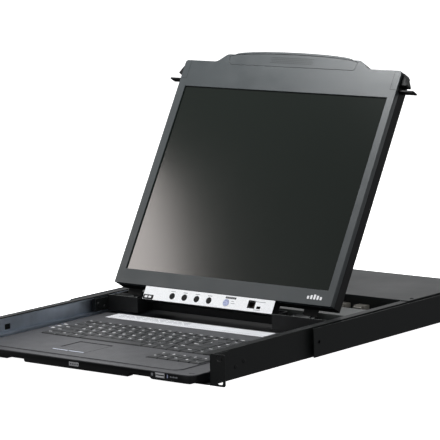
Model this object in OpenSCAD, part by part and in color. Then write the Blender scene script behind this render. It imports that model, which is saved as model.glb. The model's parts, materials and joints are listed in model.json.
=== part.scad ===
// Rack console drawer with a switch for several computers: a flat chassis
// with two sliding modules, a fold-up monitor and a keyboard tray.
// X runs to the right, Y to the back and Z up. The origin is the centre of
// the front rack bolt pattern, on the front face of the rack ears.

/* [Rack chassis] */
// Width over the two side walls
chassis_w = 435; // [430:1:440]
// Depth from the front ears to the rear panel
chassis_d = 647; // [600:1:700]
// Height of the side walls
wall_h = 42.2; // [40:0.1:43]
// Thickness of the chassis sheet steel
sheet_t = 1.2; // [1:0.1:1.6]
// Width of the flange on top of each side wall
flange_w = 12.5; // [10:0.5:13]
// Front edge of the closed electronics bay
bay_y = 462; // [455:1:480]
// Thickness of the top cover
cover_t = 1; // [0.8:0.1:1.2]

/* [Rack ears] */
// Width over the two front ears
rack_w = 482.6; // [482.6:0.1:482.6]
// Height of an ear
ear_h = 43.6; // [43:0.1:44]
// Thickness of an ear
ear_t = 2; // [1.6:0.1:2.4]
// Bolt spacing across the rack
bolt_x = 465.1; // [465.1:0.1:465.1]
// Bolt spacing up the rack
bolt_z = 31.75; // [31.75:0.01:31.75]
// Length of a bolt slot
slot_l = 10.4; // [9:0.1:12]
// Width of a bolt slot
slot_w = 6.8; // [6.2:0.1:7.2]

/* [Rear brackets] */
// Gap between a side wall and its bracket plate
bracket_gap = 6.2; // [6:0.1:7]
// Front edge of a bracket plate
bracket_y = 220.5; // [215:0.5:230]
// Rear ear of a bracket
bracket_end = 722; // [700:1:740]

/* [Monitor] */
// Width of the bezel
bezel_w = 402; // [400:1:403]
// Height of the bezel without the handle
bezel_h = 367.5; // [365:0.5:370]
// Thickness of the monitor
monitor_t = 25; // [25:0.1:25.2]
// Width of the screen opening
screen_w = 376.3; // [376.3:0.1:376.3]
// Height of the screen opening
screen_h = 301.1; // [301.1:0.1:301.1]
// Lower edge of the screen opening above the bezel edge
screen_v = 23.4; // [22:0.1:25]
// Angle between the open and the closed monitor
open_angle = 120; // [120:1:120]
// Height of the handle arch above the bezel edge
arch_h = 20.5; // [18:0.5:22]

/* [Hinge] */
// Distance of the hinge axis from the front of the chassis
hinge_y = 297.2; // [297:0.1:298]
// Height of the hinge axis above the chassis underside
hinge_z = 34.3; // [34.3:0.1:34.3]
// Hinge axis behind the front face of the bezel
hinge_w = 15.7; // [15.7:0.1:15.7]
// Hinge axis below the lower edge of the bezel
hinge_v = 19.5; // [19.5:0.1:19.5]
// Radius of the hinge pins
pin_r = 3; // [2.5:0.1:3]
// Radius of the hinge barrels
barrel_r = 8; // [7:0.1:8]

/* [Keyboard] */
// Width of the keyboard module
board_w = 406; // [400:1:406]
// Front edge of the keyboard tray
deck_front = -10; // [-12:0.5:-8]
// Rear edge of the keyboard deck
deck_back = 276; // [270:1:277]
// Top of the keyboard deck above the chassis underside
deck_z = 16.2; // [16:0.1:16.4]
// Width of a one-unit key with its gap
key_u = 18.8; // [18.4:0.05:18.8]
// Depth of a key row with its gap
key_row = 19.05; // [18.5:0.05:19.05]
// Depth of the short function row
f_row_depth = 13; // [11:0.5:14]
// Gap between neighbouring keys
key_gap = 1.8; // [1.4:0.1:2.4]
// Travel of a key
key_travel = 1.8; // [1.2:0.1:2]

/* [Hidden] */
$fn = 48;

// Thickness of the circuit boards
board_t = 1.6;

// Chassis derived sizes
wall_x = chassis_w / 2;
wall_in = wall_x - sheet_t;
flange_x = wall_x - flange_w;
rack_mid_z = ear_h / 2;
back_y = chassis_d - sheet_t;
bay_x = 202;
ear_r = 2.5;
ear_fold_t = 1.5;
ear_fold_y = 38;
ear_screw_y = 24;
ear_screw_z = [12, 30];
rivet_places = [[54, 16], [72, 21], [300, 21], [520, 21]];

// Slide rails: a fixed rail with an upper and a lower channel on each side
rail_t = 1.2;
rail_web = wall_in - rail_t;
rail_lip = 206.2;
rail_front = 17;
rail_back = 640;
rail_window_y = [66, 78];
rail_window_z = [21, 29];
board_rail_y = [17, 560];
board_rail_z = [5, 12];
runner_play = 0.6;
runner_setback = 4;
lip_z = [2, 17.2, 38.8];
runner_in = 207;
runner_out = 213.4;

// Rear bracket slot and the stud that runs in it
stud_y = 630;
stud_z = 21.8;
stud_r = 2.5;
bracket_in = 40;
bracket_out = 70;
shoe_y = [280, 470];

// Monitor carriage
car_x = 203;
car_front = 280;
car_back = 381;
car_z0 = 18.4;
car_z1 = 40;
car_wall_top = 41.8;
recess_x = [-145, 106];
recess_back = 315;
car_cover_front = 326;
car_rail_y = [252, 560];
arm_screw_places = [[258, 30], [272, 24]];

// Hinges: one left and one right of the control strip
hinge_x = [-176, 152];
leaf_half = 13;
leaf_t = 1.2;
leaf_w0 = 23.6;
leaf_top = 28;
ear_in = 14.5;
ear_out = 20;

// Monitor shells
shell_t = 2;
split_w = 9;
panel_back_t = 2.6;
arch_x = [145, 120];
arch_flat = 110;
arch_round = 7.5;
foot_cut = 1;
head_cut = 3;
strip_x = [-138, 103.5];
strip_v = [-21, -0.6];
strip_d = 14;
strip_t = 1.6;
control_board_w = 9.4;
button_r = 4.7;
button_gap = 0.3;
button_v = -12;
menu_x = [-84, -61, -38, -15];
power_x = 17;
power_r = 5.2;
port_x = 63.4;
port_v = -10.1;
switch_x = 77.2;
switch_v = -14;
catch_v = [337.3, 366.3];

// Keyboard
tray_z0 = 3;
tray_z1 = 13.6;
deck_t = 2.2;
fascia_front = -21;
bar_z0 = 7.4;
grip_x = [-100, 91.3];
grip_z = 1.6;
grip_cut = 2;
usb_x = [138, 154];
usb_z = [6.2, 13];
usb_gap = 0.6;
notch_x = [187, 196];
notch_y = [-9, -6];
seat_depth = 0.6;
rim_z = 15;
rim_r = 12;
plateau_x = [-175.5, 166.5];
plateau_front = -6;
plateau_r = 14;
well_front = 95;
well_gap = 0.3;
f_row_gap = 3;
main_x0 = -173.5;
pad_x0 = main_x0 + 15 * key_u;
pad_cols = 3;
pad_x1 = pad_x0 + pad_cols * key_u;
cluster_front = 40;
cluster_row = 18;
cluster_cols = 5;
cluster_rows = 2;
key_board_z = 8.4;
key_z0 = 12.8;
key_z1 = 17.6;
touch_x = [-80, -20];
touch_y = [35, 77];
tbtn_y = [14, 32];
label_x = [-175, 119.5];
label_y = [240, 272];

// Widths of the keys of each row, from the front row to the back row
row_widths = [
    [1.5, 1.25, 1.25, 6, 1.25, 1.25, 1.25, 1.25],
    [2.25, 1, 1, 1, 1, 1, 1, 1, 1, 1, 1, 2.75],
    [1.75, 1, 1, 1, 1, 1, 1, 1, 1, 1, 1, 1, 2.25],
    [1.5, 1, 1, 1, 1, 1, 1, 1, 1, 1, 1, 1, 1, 1.5],
    [1, 1, 1, 1, 1, 1, 1, 1, 1, 1, 1, 1, 1, 2],
    [1, 1, 1, 1, 1, 1, 1, 1, 1, 1, 1, 1, 1, 1, 1]];
space_col = 3;
enter_row = 2;
enter_col = 12;
function_row = 5;

steel_black = [0.09, 0.09, 0.10];
steel_grey = [0.34, 0.35, 0.35];
zinc = [0.62, 0.65, 0.70];
plastic_black = [0.06, 0.06, 0.07];
graphite = [0.22, 0.23, 0.24];
board_green = [0.05, 0.25, 0.15];

// A box given by its lowest and its highest corner
module block(low, high) translate(low) cube(high - low);

// The same shape on the left and on the right
module both_sides() {
    children();
    mirror([1, 0, 0]) children();
}

// Chassis heights are counted from the underside; this moves them to the origin
module rack_frame() translate([0, 0, -rack_mid_z]) children();

// Monitor coordinates: x across, y behind the bezel face, z up from its lower edge
module monitor_frame() {
    rack_frame()
        translate([0, hinge_y, hinge_z])
            rotate([90 - open_angle, 0, 0])
                translate([0, -hinge_w, hinge_v]) children();
}

// ---------------------------------------------------------------- chassis

module base_pan() color(steel_black) rack_frame()
    difference() {
        block([-wall_in, 0, 0], [wall_in, back_y, sheet_t]);
        for (x = [-150 : 50 : 150])
            block([x - 15, 560, -1], [x + 15, 564, sheet_t + 1]);
    }

module side_wall() rack_frame() difference() {
    union() {
        block([wall_in, 0, 0], [wall_x, chassis_d, wall_h]);
        block([flange_x, 0, wall_h - sheet_t], [wall_in, back_y, wall_h]);
    }
    for (z = ear_screw_z)
        translate([wall_in - 1, ear_screw_y, z]) rotate([0, 90, 0]) cylinder(r = 2, h = 4);
}

module side_wall_left() color(steel_black) mirror([1, 0, 0]) side_wall();

module side_wall_right() color(steel_black) side_wall();

module rear_panel() color(steel_black) rack_frame() difference() {
    block([-wall_in, back_y, 0], [wall_in, chassis_d, wall_h]);
    for (i = [0 : port_count - 1]) port_cutout(port_centre(i));
    block([inlet_x - 14.6, back_y - 1, 8], [inlet_x + 14.6, chassis_d + 1, 32]);
    block([rocker_x - 9.8, back_y - 1, 13.7], [rocker_x + 9.8, chassis_d + 1, 26.3]);
}

module top_cover() color(steel_grey) rack_frame() {
    block([-wall_x, bay_y, wall_h], [wall_x, chassis_d, wall_h + cover_t]);
    // Front edge folded down between the walls
    block([-bay_x, bay_y, 14], [bay_x, bay_y + cover_t, wall_h]);
}

// Two bolt slots one above the other, about the height mid_z
module bolt_slots(mid_z) {
    for (s = [-1, 1]) translate([bolt_x / 2, 0, mid_z + s * bolt_z / 2]) {
        for (e = [-1, 1])
            translate([e * (slot_l - slot_w) / 2, 0, 0])
                rotate([90, 0, 0]) cylinder(d = slot_w, h = 20, center = true);
        cube([slot_l - slot_w, 20, slot_w], center = true);
    }
}

// An ear between two depths, with its outer corners rounded
module ear_plate(y0, y1) {
    outer = rack_w / 2;
    inner = y0 > 0 ? wall_x + bracket_gap : wall_x;
    block([inner, y0, 0], [outer - ear_r, y1, ear_h]);
    block([inner, y0, ear_r], [outer, y1, ear_h - ear_r]);
    for (z = [ear_r, ear_h - ear_r])
        translate([outer - ear_r, y0, z]) rotate([-90, 0, 0]) cylinder(r = ear_r, h = y1 - y0);
}

module front_ear() rack_frame() difference() {
    union() {
        ear_plate(0, ear_t);
        block([wall_x, ear_t, 1], [wall_x + ear_fold_t, ear_fold_y, wall_h - 1]);
    }
    bolt_slots(rack_mid_z);
    for (z = ear_screw_z)
        translate([wall_x - 1, ear_screw_y, z]) rotate([0, 90, 0]) cylinder(r = 2, h = 4);
}

module front_ear_left() color(steel_black) mirror([1, 0, 0]) front_ear();

module front_ear_right() color(steel_black) front_ear();

// Fixed rail: web on the wall and three lips that form two channels
module outer_rail() rack_frame() difference() {
    union() {
        block([rail_web, rail_front, lip_z[0]], [wall_in, rail_back, lip_z[2] + rail_t]);
        for (z = lip_z)
            block([rail_lip, rail_front, z], [rail_web, rail_back, z + rail_t]);
    }
    block([rail_web - 1, rail_window_y[0], rail_window_z[0]],
        [wall_in + 1, rail_window_y[1], rail_window_z[1]]);
}

module outer_rail_left() color(zinc) mirror([1, 0, 0]) outer_rail();

module outer_rail_right() color(zinc) outer_rail();

// Electronics bay
port_count = 8;
port_z = 20;
inlet_x = 178;
rocker_x = 145;
board_z = 7.2;

function port_centre(i) = -166 + i * 37;

module port_cutout(x)
    block([x - 12.6, back_y - 1, port_z - 4.7], [x + 12.6, chassis_d + 1, port_z + 4.7]);

module main_board() color(board_green) rack_frame() difference() {
    block([-190, 505, board_z], [118, 640, board_z + board_t]);
    for (p = standoff_places) translate([p[0], p[1], board_z - 1]) cylinder(r = 1.7, h = 4);
}

standoff_places = [for (x = [-184, -36, 112]) for (y = [511, 600]) [x, y]];

module board_standoffs() color(zinc) rack_frame() for (p = standoff_places) {
    translate([p[0], p[1], sheet_t]) cylinder(r = 3, h = board_z - sheet_t);
    translate([p[0], p[1], board_z]) cylinder(r = 1.5, h = board_t);
    translate([p[0], p[1], board_z + board_t]) cylinder(r = 2.8, h = 1.6);
}

module board_chips() color(plastic_black) rack_frame() {
    top = board_z + board_t;
    block([-60, 530, top], [-28, 562, top + 2.6]);
    for (x = [-130, -105, 10, 35, 60]) block([x, 560, top], [x + 18, 572, top + 2]);
    for (x = [-150 : 14 : -80]) translate([x, 525, top]) cylinder(r = 4, h = 11);
}

module power_supply() color(zinc) rack_frame() difference() {
    block([126, 490, sheet_t], [200, 596, 36]);
    for (y = [505 : 12 : 580]) block([140, y, 35], [186, y + 4, 37]);
}

// Computer connectors along the rear panel
module computer_ports() color(plastic_black) rack_frame() for (i = [0 : port_count - 1]) {
    x = port_centre(i);
    difference() {
        union() {
            block([x - 15.4, 628, board_z + board_t], [x + 15.4, back_y, port_z + 6]);
            block([x - 12.2, back_y, port_z - 4.3], [x + 12.2, chassis_d + 4.5, port_z + 4.3]);
        }
        block([x - 9.2, 640, port_z - 3.2], [x + 9.2, chassis_d + 5, port_z + 3.2]);
    }
}

module power_inlet() color(plastic_black) rack_frame() difference() {
    union() {
        block([inlet_x - 14, 618, 8.6], [inlet_x + 14, chassis_d, 31.4]);
        block([inlet_x - 16, chassis_d, 6.6], [inlet_x + 16, chassis_d + 2, 33.4]);
    }
    block([inlet_x - 12.2, 624, 11.7], [inlet_x + 12.2, chassis_d + 3, 28.3]);
}

module power_rocker() color(plastic_black) rack_frame() intersection() {
    translate([rocker_x - 9, chassis_d - 3, 20]) rotate([0, 90, 0]) cylinder(r = 7.5, h = 18);
    block([rocker_x - 9, 630, 14.6], [rocker_x + 9, chassis_d + 5, 25.4]);
}

// Plugs of the harness that leaves the bay towards the carriage
module harness_plugs() color([0.75, 0.74, 0.7]) rack_frame() {
    for (x = [30, 58, 96, 130]) {
        block([x, 447, 24], [x + 18, bay_y, 31]);
        block([x + 2, 441, 25.5], [x + 16, 447, 29.5]);
    }
}

module chassis_screws() color(steel_black) rack_frame() {
    // Countersunk screws through the top cover
    for (x = [-211, 211]) for (y = [480, 560, 630])
        translate([x, y, wall_h + cover_t]) cylinder(r1 = 3, r2 = 2.4, h = 0.9, $fn = 32);
    both_sides() {
        for (z = ear_screw_z) {
            translate([wall_x + ear_fold_t, ear_screw_y, z]) rotate([0, 90, 0]) cylinder(r = 3.4, h = 1.4);
            translate([wall_in, ear_screw_y, z]) rotate([0, 90, 0]) cylinder(r = 2, h = sheet_t + ear_fold_t);
        }
        // Rivets of the slide rail
        for (p = rivet_places) translate([wall_x, p[0], p[1]]) rotate([0, 90, 0]) cylinder(r = 3, h = 0.7);
        // Shouldered stud in the long slot of the rear bracket
        translate([wall_x, stud_y, stud_z]) rotate([0, 90, 0]) cylinder(r = stud_r, h = bracket_gap + 2);
        translate([wall_x + bracket_gap + 1.9, stud_y, stud_z]) rotate([0, 90, 0]) cylinder(r = 5, h = 1.4);
    }
    // Ground screw on the rear panel
    translate([-195, chassis_d, 12]) rotate([-90, 0, 0]) cylinder(r = 4, h = 3);
}

// Sliding rear bracket: a long plate beside the wall with a turned-out ear
module rear_bracket() rack_frame() {
    x0 = wall_x + bracket_gap;
    difference() {
        union() {
            block([x0, bracket_y, 0.6], [x0 + 1.6, bracket_end, wall_h - 0.6]);
            ear_plate(bracket_end - ear_t, bracket_end);
            // Guide shoes that run along the wall
            for (y = shoe_y) block([wall_x + 0.9, y, 25], [x0, y + 40, 37]);
        }
        translate([0, bracket_end, 0]) bolt_slots(rack_mid_z);
        translate([x0 - 1, bracket_y + 12, 21.4]) rotate([0, 90, 0]) cylinder(r = 2.4, h = 4);
        // Long slot for the stud on the wall
        for (y = [stud_y - bracket_out, stud_y + bracket_in])
            translate([x0 - 1, y, stud_z]) rotate([0, 90, 0]) cylinder(r = stud_r + 0.4, h = 4);
        block([x0 - 1, stud_y - bracket_out, stud_z - stud_r - 0.4],
            [x0 + 3, stud_y + bracket_in, stud_z + stud_r + 0.4]);
    }
}

module rear_bracket_left() color(steel_black) mirror([1, 0, 0]) rear_bracket();

module rear_bracket_right() color(steel_black) rear_bracket();

// --------------------------------------------------------------- carriage

module carriage_shell() color(plastic_black) rack_frame() difference() {
    union() {
        difference() {
            union() {
                block([-car_x, car_front, car_z0], [car_x, car_back, car_z1]);
                block([-car_x, car_front, car_z1], [car_x, car_front + sheet_t, car_wall_top]);
            }
            block([-car_x + sheet_t, car_front + sheet_t, car_z0 + sheet_t],
                [car_x - sheet_t, car_back - sheet_t, car_z1 + 1]);
        }
        block([recess_x[0] - sheet_t, car_front, car_z0], [recess_x[0], recess_back, car_z1]);
        block([recess_x[1], car_front, car_z0], [recess_x[1] + sheet_t, recess_back, car_z1]);
        block([recess_x[0] - sheet_t, recess_back, car_z0],
            [recess_x[1] + sheet_t, recess_back + sheet_t, car_z1]);
    }
    block([recess_x[0], car_front - 1, car_z0 - 1], [recess_x[1], recess_back, car_wall_top + 1]);
}

module carriage_cover() color(steel_grey) rack_frame() {
    block([-car_x, car_cover_front, car_z1], [car_x, car_back, car_z1 + cover_t]);
    // Front edge folded down between the side plates
    block([-car_x + 2, car_cover_front, car_z1 - 8], [car_x - 2, car_cover_front + cover_t, car_z1]);
}

// Arm plate on the carriage side and the runner in the upper channel
module carriage_rail() rack_frame() {
    arm_out = car_x + 1.8;
    front = car_rail_y[0] + runner_setback;
    back = car_rail_y[1] - runner_setback;
    block([car_x, car_rail_y[0], 20], [arm_out, car_rail_y[1], 38.6]);
    block([arm_out, front, 27], [runner_in, back, 32]);
    block([runner_in, front, lip_z[1] + rail_t + runner_play], [runner_out, back, lip_z[2] - runner_play]);
    // Screws that hold the arm to the carriage
    for (p = arm_screw_places)
        translate([car_x, p[0], p[1]]) rotate([0, -90, 0]) cylinder(r = 3.2, h = 1.4);
}

module carriage_rail_left() color(plastic_black) mirror([1, 0, 0]) carriage_rail();

module carriage_rail_right() color(plastic_black) carriage_rail();

// Bearing ears that carry the hinge pins
module hinge_brackets() color(steel_black) rack_frame() for (c = hinge_x) {
    base_z = car_z0 + sheet_t;
    block([c - ear_out, hinge_y - 10, base_z], [c + ear_out, hinge_y + 16, base_z + 1.6]);
    for (s = [-1, 1]) difference() {
        union() {
            translate([c + s * (ear_in + ear_out) / 2, hinge_y, hinge_z]) rotate([0, 90, 0])
                cylinder(r = 7, h = ear_out - ear_in, center = true);
            translate([c + s * (ear_in + ear_out) / 2, hinge_y, (hinge_z + base_z) / 2])
                cube([ear_out - ear_in, 14, hinge_z - base_z], center = true);
        }
        translate([c + s * (ear_in + ear_out) / 2, hinge_y, hinge_z]) rotate([0, 90, 0])
            cylinder(r = pin_r, h = 20, center = true);
    }
}

// Hinge pins with the friction washers beside the barrels
module hinge_pins() color([0.75, 0.75, 0.76]) rack_frame() for (c = hinge_x) {
    translate([c, hinge_y, hinge_z]) rotate([0, 90, 0])
        cylinder(r = pin_r, h = 2 * ear_out + 2, center = true);
    for (s = [-1, 1]) translate([c + s * 13.8, hinge_y, hinge_z]) rotate([0, 90, 0])
        difference() {
            cylinder(r = 6, h = 0.9, center = true);
            cylinder(r = pin_r + 0.05, h = 2, center = true);
        }
}

// ---------------------------------------------------------------- monitor

// Outline of the monitor with the arched handle on top
module monitor_outline(inset = 0) {
    w = bezel_w / 2 - inset;
    top = bezel_h - inset;
    polygon(concat(
        [[-w + foot_cut, inset], [w - foot_cut, inset], [w, inset + foot_cut],
            [w, top - head_cut], [w - head_cut, top]],
        [for (i = [0 : 8]) arch_point(i / 8, inset)],
        [for (i = [0 : 12]) [arch_flat * cos(180 * i / 12),
            bezel_h - inset + arch_h - arch_round + arch_round * sin(180 * i / 12)]],
        [for (i = [8 : -1 : 0]) [-arch_point(i / 8, inset)[0], arch_point(i / 8, inset)[1]]],
        [[-w + head_cut, top], [-w, top - head_cut], [-w, inset + foot_cut]]));
}

// S-shaped shoulder from the bezel edge up to the handle arch
function arch_point(t, inset) = [
    arch_x[0] - (arch_x[0] - arch_x[1]) * t - inset * t,
    bezel_h - inset + (arch_h - arch_round) * (1 - cos(180 * t)) / 2];

module monitor_slab(w0, w1, inset = 0) translate([0, w1, 0]) rotate([90, 0, 0])
    linear_extrude(w1 - w0) monitor_outline(inset);

// Window in the side for a catch
module catch_window() both_sides()
    block([bezel_w / 2 - 7, 4.5, catch_v[0] - 0.5], [bezel_w / 2 + 1, 19.5, catch_v[1] + 0.5]);

// Opening for the handle insert
module insert_outline(gap = 0) polygon(concat(
    [[-114 - gap, 364 - gap], [114 + gap, 364 - gap], [117 + gap, 367], [119 + gap, 377]],
    [for (i = [1 : 11]) [(116 + gap) * cos(180 * i / 12), 377 + gap + 7 * sin(180 * i / 12)]],
    [[-119 - gap, 377], [-117 - gap, 367]]));

module front_bezel() color(graphite) monitor_frame() difference() {
    monitor_slab(0, split_w);
    translate([0, split_w + 0.5, 0]) rotate([90, 0, 0])
        linear_extrude(split_w + 0.5 - shell_t - 0.2) monitor_outline(shell_t);
    block([-screen_w / 2 + 0.7, -1, screen_v], [screen_w / 2 + 0.7, 5, screen_v + screen_h]);
    translate([0, 1.6, 0]) rotate([90, 0, 0]) linear_extrude(3) insert_outline(0.4);
    catch_window();
}

module back_cover() color(plastic_black) monitor_frame() difference() {
    monitor_slab(split_w, monitor_t);
    difference() {
        translate([0, monitor_t - panel_back_t, 0]) rotate([90, 0, 0])
            linear_extrude(monitor_t - panel_back_t - split_w + 1) monitor_outline(shell_t);
        block([-130, 0, bezel_h - shell_t], [130, 30, bezel_h]);
    }
    catch_window();
    for (c = hinge_x)
        block([c - leaf_half - 0.2, leaf_w0 - 0.1, -1], [c + leaf_half + 0.2, monitor_t + 1, leaf_top + 0.3]);
    for (p = monitor_screw_places) translate([p[0], 0, p[1]]) rotate([-90, 0, 0]) {
        cylinder(r = 1.6, h = 30);
        translate([0, 0, monitor_t - 1.2]) cylinder(r = 3.1, h = 2);
    }
}

monitor_screw_places = [[-192, 6], [192, 6], [-192, 328], [192, 328], [0, 355], [0, 8]];

module monitor_screws() color(zinc) monitor_frame()
    for (p = monitor_screw_places) translate([p[0], 0, p[1]]) rotate([-90, 0, 0]) {
        translate([0, 0, 14]) cylinder(r = 1.5, h = monitor_t - 14 - 0.6);
        translate([0, 0, monitor_t - 1.2]) cylinder(r = 2.9, h = 1);
    }

module lcd_screen() color([0.03, 0.04, 0.04]) monitor_frame()
    block([-192, 2.2, 15], [192, 11, 333]);

module driver_board() color(board_green) monitor_frame() {
    block([-90, 14, 70], [60, 15.6, 180]);
    for (x = [-70, -30, 15]) block([x, 15.6, 90], [x + 20, 18, 110]);
    block([-80, 15.6, 140], [50, 20, 165]);
    // Spacers between the panel and the board
    for (x = [-84, 54]) for (z = [76, 174])
        translate([x, 11, z]) rotate([-90, 0, 0]) cylinder(r = 3, h = 3);
}

module handle_insert() color([0.2, 0.21, 0.24]) monitor_frame()
    translate([0, 1.6, 0]) rotate([90, 0, 0]) linear_extrude(1.3) insert_outline(0);

// Button strip under the screen
module control_housing() color(plastic_black) monitor_frame() difference() {
    union() {
        block([strip_x[0], 0, strip_v[0]], [strip_x[1], strip_d, strip_v[1]]);
        for (x = [-120, -20, 80]) block([x - 8, 3, strip_v[1]], [x + 8, 12, 0]);
    }
    block([strip_x[0] + strip_t, strip_t, strip_v[0] + strip_t],
        [strip_x[1] - strip_t, strip_d + 1, strip_v[1] - strip_t]);
    for (x = menu_x) button_hole(x, button_r);
    button_hole(power_x, power_r);
    block([port_x - 6.6, -1, port_v - 6.1], [port_x + 6.6, 3, port_v + 6.1]);
    block([switch_x - 3.4, -1, switch_v - 2.1], [switch_x + 3.4, 3, switch_v + 2.1]);
}

module button_hole(x, r) translate([x, -1, button_v]) rotate([-90, 0, 0])
    cylinder(r = r + button_gap, h = 4);

module control_board() color(board_green) monitor_frame()
    block([-130, control_board_w, -19.2], [98, control_board_w + board_t, -2.4]);

// A round push button with a retaining flange behind the face
module push_button(x, r) monitor_frame() translate([x, 0, button_v]) rotate([-90, 0, 0]) {
    translate([0, 0, -0.4]) cylinder(r = r, h = 8.6);
    translate([0, 0, 2.4]) cylinder(r = r + 1.2, h = 1.2);
}

module menu_button_1() color(plastic_black) push_button(menu_x[0], button_r);

module menu_button_2() color(plastic_black) push_button(menu_x[1], button_r);

module menu_button_3() color(plastic_black) push_button(menu_x[2], button_r);

module menu_button_4() color(plastic_black) push_button(menu_x[3], button_r);

module monitor_power_button() color([0.6, 0.7, 0.95]) push_button(power_x, power_r);

module mode_switch() color(plastic_black) monitor_frame() {
    block([switch_x - 3, -0.3, switch_v - 1.6], [switch_x - 0.6, 8.6, switch_v + 1.6]);
    block([switch_x - 4.2, 2.2, switch_v - 2.6], [switch_x + 0.6, 4, switch_v + 2.6]);
}

module upgrade_port() color(plastic_black) monitor_frame() difference() {
    block([port_x - 6.4, 0.2, port_v - 5.9], [port_x + 6.4, control_board_w, port_v + 5.9]);
    block([port_x - 4.8, -1, port_v - 3.4], [port_x + 4.8, 7.4, port_v + 3.4]);
    // Keyway for the latch of the plug
    block([port_x - 1.6, -1, port_v - 4.9], [port_x + 1.6, 7.4, port_v - 3]);
}

// Moving hinge leaf with its barrel, bolted to the back cover
module hinge_leaves() color(steel_black) monitor_frame() for (c = hinge_x) difference() {
    union() {
        translate([c, hinge_w, -hinge_v]) rotate([0, 90, 0])
            cylinder(r = barrel_r, h = 2 * leaf_half, center = true);
        block([c - leaf_half, leaf_w0, -hinge_v], [c + leaf_half, leaf_w0 + leaf_t, leaf_top]);
        block([c - leaf_half, hinge_w + 4, -hinge_v - 1], [c + leaf_half, leaf_w0 + leaf_t, -hinge_v + 3]);
    }
    translate([c, hinge_w, -hinge_v]) rotate([0, 90, 0])
        cylinder(r = pin_r + 0.05, h = 60, center = true);
}

// Side catch: a slider inside the monitor with a wing and a release tab outside
module lcd_catch() monitor_frame() {
    x0 = bezel_w / 2;
    block([x0 - 17, 5, catch_v[0] + 0.5], [x0 - 2.6, 19, catch_v[1] - 4]);
    block([x0 - 2.6, 5, catch_v[0] + 9.5], [x0 + 0.4, 19, catch_v[1] - 0.5]);
    translate([0, 19, 0]) rotate([90, 0, 0]) linear_extrude(14)
        polygon([[x0 + 0.4, 346.8], [x0 + 10.5, 346.8], [x0 + 10.5, 349], [x0 + 1.2, catch_v[1] - 0.5],
            [x0 + 0.4, catch_v[1] - 0.5]]);
    block([x0 - 2.6, 6, catch_v[0]], [x0 + 25, 18, catch_v[0] + 2.4]);
}

module lcd_catch_left() color(plastic_black) mirror([1, 0, 0]) lcd_catch();

module lcd_catch_right() color(plastic_black) lcd_catch();

// --------------------------------------------------------------- keyboard

function sum_to(v, n) = n <= 0 ? 0 : v[n - 1] + sum_to(v, n - 1);

function row_y(r) = well_front + r * key_row + (r == function_row ? f_row_gap : 0);

function row_depth(r) = r == function_row ? f_row_depth : key_row;

// A plate with two round front corners, given by its lowest and highest corner
module plate(low, high, r) {
    block([low[0], low[1] + r, low[2]], high);
    block([low[0] + r, low[1], low[2]], [high[0] - r, high[1], high[2]]);
    for (x = [low[0] + r, high[0] - r])
        translate([x, low[1] + r, low[2]]) cylinder(r = r, h = high[2] - low[2]);
}

// One key cap: a plinth with a slightly smaller top
module key(x, y, w, d) {
    g = key_gap / 2;
    block([x + g, y + g, key_z0], [x + w - g, y + d - g, key_z1 - 1]);
    block([x + g + 1, y + g + 0.8, key_z1 - 1], [x + w - g - 1, y + d - g - 1.2, key_z1]);
}

module main_key(r, c) key(main_x0 + key_u * sum_to(row_widths[r], c), row_y(r),
    key_u * row_widths[r][c], row_depth(r));

module keys_function_row() color(plastic_black) rack_frame()
    for (c = [0 : len(row_widths[function_row]) - 1]) main_key(function_row, c);

module keys_letters() color(plastic_black) rack_frame()
    for (r = [0 : function_row - 1])
        for (c = [0 : len(row_widths[r]) - 1])
            if (!(r == 0 && c == space_col) && !(r == enter_row && c == enter_col)) main_key(r, c);

module keys_keypad() color(plastic_black) rack_frame() {
    for (r = [0 : function_row])
        for (c = [0 : pad_cols - 1]) key(pad_x0 + c * key_u, row_y(r), key_u, row_depth(r));
    for (r = [0 : cluster_rows - 1])
        for (c = [1 : cluster_cols])
            key(pad_x1 - c * key_u, cluster_front + r * cluster_row, key_u, cluster_row);
}

module space_bar() color(plastic_black) rack_frame() main_key(0, space_col);

module enter_key() color(plastic_black) rack_frame() main_key(enter_row, enter_col);

module keyboard_tray() color(plastic_black) rack_frame() difference() {
    block([-board_w / 2, deck_front, tray_z0], [board_w / 2, deck_back, tray_z1]);
    block([-board_w / 2 + shell_t, deck_front + shell_t, tray_z0 + 1.6],
        [board_w / 2 - shell_t, deck_back - shell_t, tray_z1 + 1]);
}

// Opening in the deck for a block of keys
module key_well(x0, x1, y0, y1)
    block([x0 - well_gap, y0 - well_gap, 0], [x1 + well_gap, y1 + well_gap, deck_z + 1]);

// Top shell: a low rim all round and a raised plateau that holds the keys
module keyboard_deck() color([0.2, 0.2, 0.21]) rack_frame() difference() {
    union() {
        plate([-board_w / 2, fascia_front, tray_z1], [board_w / 2, deck_back, rim_z], rim_r);
        plate([plateau_x[0], plateau_front, rim_z], [plateau_x[1], deck_back, deck_z], plateau_r);
    }
    block([-board_w / 2 + shell_t, deck_front + shell_t, tray_z1 - 1],
        [board_w / 2 - shell_t, deck_back - shell_t, deck_z - deck_t]);
    key_well(main_x0, pad_x1, row_y(0), row_y(4) + row_depth(4));
    key_well(main_x0, pad_x1, row_y(5), row_y(5) + row_depth(5));
    key_well(pad_x1 - cluster_cols * key_u, pad_x1,
        cluster_front, cluster_front + cluster_rows * cluster_row);
    // Touchpad and its two buttons
    block([touch_x[0], touch_y[0], 0], [touch_x[1], touch_y[1], deck_z + 1]);
    block([touch_x[0], tbtn_y[0], 0], [touch_x[1], tbtn_y[1], deck_z + 1]);
    // Shallow seat of the label plate
    block([label_x[0], label_y[0], deck_z - seat_depth], [label_x[1], label_y[1], deck_z + 1]);
    // Notch in the front right corner
    block([notch_x[0], notch_y[0], rim_z - 0.7], [notch_x[1], notch_y[1], rim_z + 1]);
}

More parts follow.
